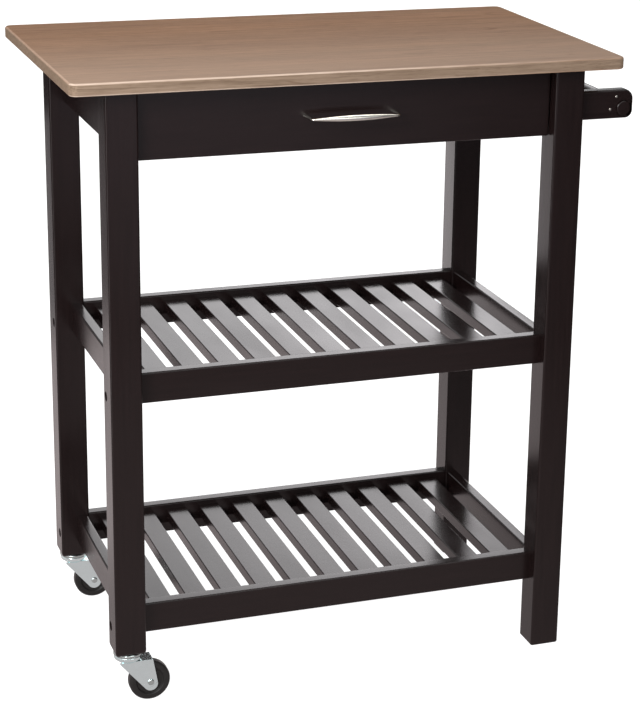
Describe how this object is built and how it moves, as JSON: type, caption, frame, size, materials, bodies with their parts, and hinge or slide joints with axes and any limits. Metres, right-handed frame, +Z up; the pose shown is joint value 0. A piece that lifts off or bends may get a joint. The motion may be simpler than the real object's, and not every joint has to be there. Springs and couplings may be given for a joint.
{
  "type": "kitchen trolley",
  "caption": "Kitchen trolley with a solid top over one drawer, slatted shelves, a side towel bar, casters at one end and plain feet at the other.",
  "frame": {"origin": "on the floor, in the middle of the overall box in X and Y; the towel bar on the +X side puts the middle of the legs 16.75 mm towards -X", "axes": "+X along the long side from the casters to the towel bar, -Y the way the drawer opens, +Z up"},
  "size_m": [0.8284, 0.46, 0.915],
  "materials": {
    "stained_top": "satin grey-brown stain with fine grain",
    "espresso_wood": "semi-gloss espresso lacquer",
    "drawer_wood": "matt espresso lacquer",
    "birch": "raw",
    "zinc_steel": "bright zinc plate",
    "satin_nickel": "satin nickel plate",
    "white_enamel": "powder coat",
    "nylon": "natural nylon",
    "wheel_black": "smooth hard rubber"
  },
  "bodies": {
    "root": {"worktop": "stained_top", "front_left_leg": "espresso_wood", "front_right_leg": "espresso_wood", "rear_left_leg": "espresso_wood", "rear_right_leg": "espresso_wood", "upper_front_rail": "espresso_wood", "upper_rear_rail": "espresso_wood", "upper_left_rail": "espresso_wood", "upper_right_rail": "espresso_wood", "upper_front_cleat": "espresso_wood", "upper_rear_cleat": "espresso_wood", "upper_slats": "espresso_wood", "lower_front_rail": "espresso_wood", "lower_rear_rail": "espresso_wood", "lower_left_rail": "espresso_wood", "lower_right_rail": "espresso_wood", "lower_front_cleat": "espresso_wood", "lower_rear_cleat": "espresso_wood", "lower_slats": "espresso_wood", "slat_screws": "zinc_steel", "left_apron": "espresso_wood", "right_apron": "espresso_wood", "rear_apron": "espresso_wood", "front_stretcher": "espresso_wood", "slide_packers": "espresso_wood", "frame_dowels": "birch", "rail_bolts": "zinc_steel", "barrel_nuts": "zinc_steel", "top_brackets": "zinc_steel", "frame_screws": "zinc_steel", "left_cabinet_slide": "white_enamel", "right_cabinet_slide": "white_enamel", "front_towel_arm": "espresso_wood", "rear_towel_arm": "espresso_wood", "towel_bar": "espresso_wood", "towel_arm_screws": "zinc_steel", "towel_arm_brads": "satin_nickel", "caster_inserts": "zinc_steel", "front_caster_stem": "zinc_steel", "rear_caster_stem": "zinc_steel"},
    "drawer": {"drawer_front": "espresso_wood", "drawer_left_side": "drawer_wood", "drawer_right_side": "drawer_wood", "drawer_back": "drawer_wood", "drawer_bottom": "drawer_wood", "drawer_dowels": "birch", "drawer_screws": "zinc_steel", "drawer_handle": "satin_nickel", "left_drawer_slide": "white_enamel", "right_drawer_slide": "white_enamel"},
    "left_cabinet_roller": {"left_cabinet_roller": "nylon"},
    "left_drawer_roller": {"left_drawer_roller": "nylon"},
    "right_cabinet_roller": {"right_cabinet_roller": "nylon"},
    "right_drawer_roller": {"right_drawer_roller": "nylon"},
    "front_caster": {"front_caster_fork": "zinc_steel", "front_caster_axle": "zinc_steel"},
    "front_wheel": {"front_caster_wheel": "wheel_black"},
    "rear_caster": {"rear_caster_fork": "zinc_steel", "rear_caster_axle": "zinc_steel"},
    "rear_wheel": {"rear_caster_wheel": "wheel_black"}
  },
  "joints": [
    {"name": "drawer_slide", "type": "slide", "parent": "root", "child": "drawer", "axis": [0, -1, 0], "range_m": [0, 0.22]},
    {"name": "left_cabinet_roller_turn", "type": "hinge", "parent": "root", "child": "left_cabinet_roller", "pos_m": [-0.31215, -0.156, 0.8205], "axis": [1, 0, 0], "range_deg": [0, 1410.6]},
    {"name": "left_drawer_roller_turn", "type": "hinge", "parent": "drawer", "child": "left_drawer_roller", "pos_m": [-0.31215, 0.117, 0.8225], "axis": [1, 0, 0], "range_deg": [0, 1155.9]},
    {"name": "right_cabinet_roller_turn", "type": "hinge", "parent": "root", "child": "right_cabinet_roller", "pos_m": [0.27865, -0.156, 0.8205], "axis": [1, 0, 0], "range_deg": [0, 1410.6]},
    {"name": "right_drawer_roller_turn", "type": "hinge", "parent": "drawer", "child": "right_drawer_roller", "pos_m": [0.27865, 0.117, 0.8225], "axis": [1, 0, 0], "range_deg": [0, 1155.9]},
    {"name": "front_caster_swivel", "type": "hinge", "parent": "root", "child": "front_caster", "pos_m": [-0.341, -0.18325, 0.072], "axis": [0, 0, 1], "continuous": true},
    {"name": "front_wheel_roll", "type": "hinge", "parent": "front_caster", "child": "front_wheel", "pos_m": [-0.3108, -0.18325, 0.03], "axis": [0, 1, 0], "continuous": true},
    {"name": "rear_caster_swivel", "type": "hinge", "parent": "root", "child": "rear_caster", "pos_m": [-0.341, 0.18325, 0.072], "axis": [0, 0, 1], "continuous": true},
    {"name": "rear_wheel_roll", "type": "hinge", "parent": "rear_caster", "child": "rear_wheel", "pos_m": [-0.3108, 0.18325, 0.03], "axis": [0, 1, 0], "continuous": true}
  ],
  "couplings": [
    {"joint": "left_cabinet_roller_turn", "follows": "drawer_slide", "rad_per_m": 111.11},
    {"joint": "left_drawer_roller_turn", "follows": "drawer_slide", "rad_per_m": 90.909},
    {"joint": "right_cabinet_roller_turn", "follows": "drawer_slide", "rad_per_m": 111.11},
    {"joint": "right_drawer_roller_turn", "follows": "drawer_slide", "rad_per_m": 90.909}
  ]
}
